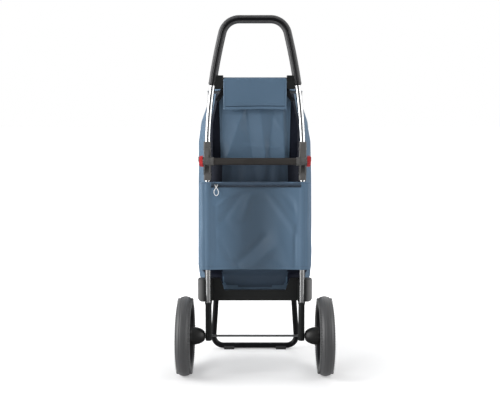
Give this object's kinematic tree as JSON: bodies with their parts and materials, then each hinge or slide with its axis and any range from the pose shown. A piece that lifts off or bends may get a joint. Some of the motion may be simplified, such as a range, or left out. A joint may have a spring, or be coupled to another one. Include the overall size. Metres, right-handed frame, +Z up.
{
  "type": "folding shopping trolley",
  "caption": "Folding two-wheeled shopping trolley: aluminium frame that folds at mid height, bow handle, soft bag with lid and rear zip pocket, fold-up front foot.",
  "frame": {"origin": "bottom centre of the whole trolley's box, on the ground", "axes": "+Z up; -Y towards the person who pulls it (handle side, rear pocket); +Y towards the bag's front and the foot; +X to the right seen from behind, along the axle"},
  "size_m": [0.43, 0.366, 0.985],
  "materials": {
    "polished_aluminium": "polished, clear anodised",
    "steel": "zinc plated",
    "black_plastic": "fine moulded texture",
    "hinge_plastic": "fine moulded texture",
    "gloss_black_plastic": "gloss",
    "rim_plastic": "satin",
    "bush_plastic": "plain",
    "black_paint": "semi-gloss powder coat",
    "grip_rubber": "matt",
    "tyre_rubber": "matt",
    "red_plastic": "satin",
    "blue_fabric": "coated polyester, plain weave",
    "navy_webbing": "woven webbing",
    "white_cord": "braided cord"
  },
  "bodies": {
    "root": {"lower_tube_left": "polished_aluminium", "lower_tube_right": "polished_aluminium", "leg_left": "black_plastic", "leg_right": "black_plastic", "base_crossmember": "black_plastic", "axle": "steel", "axle_washers": "steel", "axle_clips": "steel", "lower_hinge_left": "hinge_plastic", "lower_hinge_right": "hinge_plastic", "crossbar": "hinge_plastic", "hinge_rod": "steel", "lower_rivets": "steel", "button_springs": "steel", "foot_pivot_pins": "steel", "bag_lower": "blue_fabric", "bag_upper": "blue_fabric", "rear_pocket": "blue_fabric", "zip_tape": "navy_webbing", "buckle_socket": "black_plastic", "front_strap": "navy_webbing"},
    "upper_frame": {"upper_tube_left": "polished_aluminium", "upper_tube_right": "polished_aluminium", "upper_hinge_left": "hinge_plastic", "upper_hinge_right": "hinge_plastic", "upper_rivets": "steel", "handle_core": "black_paint", "handle_grip": "grip_rubber", "top_bar": "black_paint", "top_bracket_left": "black_plastic", "top_bracket_right": "black_plastic", "hanging_flap": "blue_fabric", "back_panel": "blue_fabric", "corner_straps": "navy_webbing"},
    "foot": {"foot_tube": "black_paint", "base_shelf": "black_plastic", "foot_pads": "grip_rubber"},
    "wheel_left": {"tyre_left": "tyre_rubber", "rim_left": "rim_plastic", "hub_dome_left": "gloss_black_plastic", "hub_cap_left": "black_plastic", "bush_left": "bush_plastic"},
    "wheel_right": {"tyre_right": "tyre_rubber", "rim_right": "rim_plastic", "hub_dome_right": "gloss_black_plastic", "hub_cap_right": "black_plastic", "bush_right": "bush_plastic"},
    "button_left": {"release_button_left": "red_plastic"},
    "button_right": {"release_button_right": "red_plastic"},
    "lid": {"lid": "blue_fabric", "lid_strap": "navy_webbing", "buckle_plug": "black_plastic"},
    "zip_slider": {"zip_slider": "black_plastic", "pull_cord": "white_cord"}
  },
  "joints": [
    {"name": "frame_fold", "type": "hinge", "parent": "root", "child": "upper_frame", "pos_m": [0, -0.095, 0.599], "axis": [1, 0, 0], "range_deg": [0, 172]},
    {"name": "foot_fold", "type": "hinge", "parent": "root", "child": "foot", "pos_m": [0, -0.039, 0.222], "axis": [1, 0, 0], "range_deg": [0, 88], "deforming": ["bag_lower"]},
    {"name": "wheel_left_spin", "type": "hinge", "parent": "root", "child": "wheel_left", "pos_m": [-0.195, -0.073, 0.11], "axis": [1, 0, 0], "continuous": true},
    {"name": "wheel_right_spin", "type": "hinge", "parent": "root", "child": "wheel_right", "pos_m": [0.195, -0.073, 0.11], "axis": [1, 0, 0], "continuous": true},
    {"name": "button_left_press", "type": "slide", "parent": "root", "child": "button_left", "axis": [1, 0, 0], "range_m": [0, 0.003], "stiffness_N_per_m": 600, "springref_m": -0.003},
    {"name": "button_right_press", "type": "slide", "parent": "root", "child": "button_right", "axis": [-1, 0, 0], "range_m": [0, 0.003], "stiffness_N_per_m": 600, "springref_m": -0.003},
    {"name": "lid_open", "type": "hinge", "parent": "root", "child": "lid", "pos_m": [0, -0.043, 0.795], "axis": [1, 0, 0], "range_deg": [0, 88]},
    {"name": "zip_slide", "type": "slide", "parent": "root", "child": "zip_slider", "axis": [1, 0, 0], "range_m": [0, 0.225]}
  ]
}
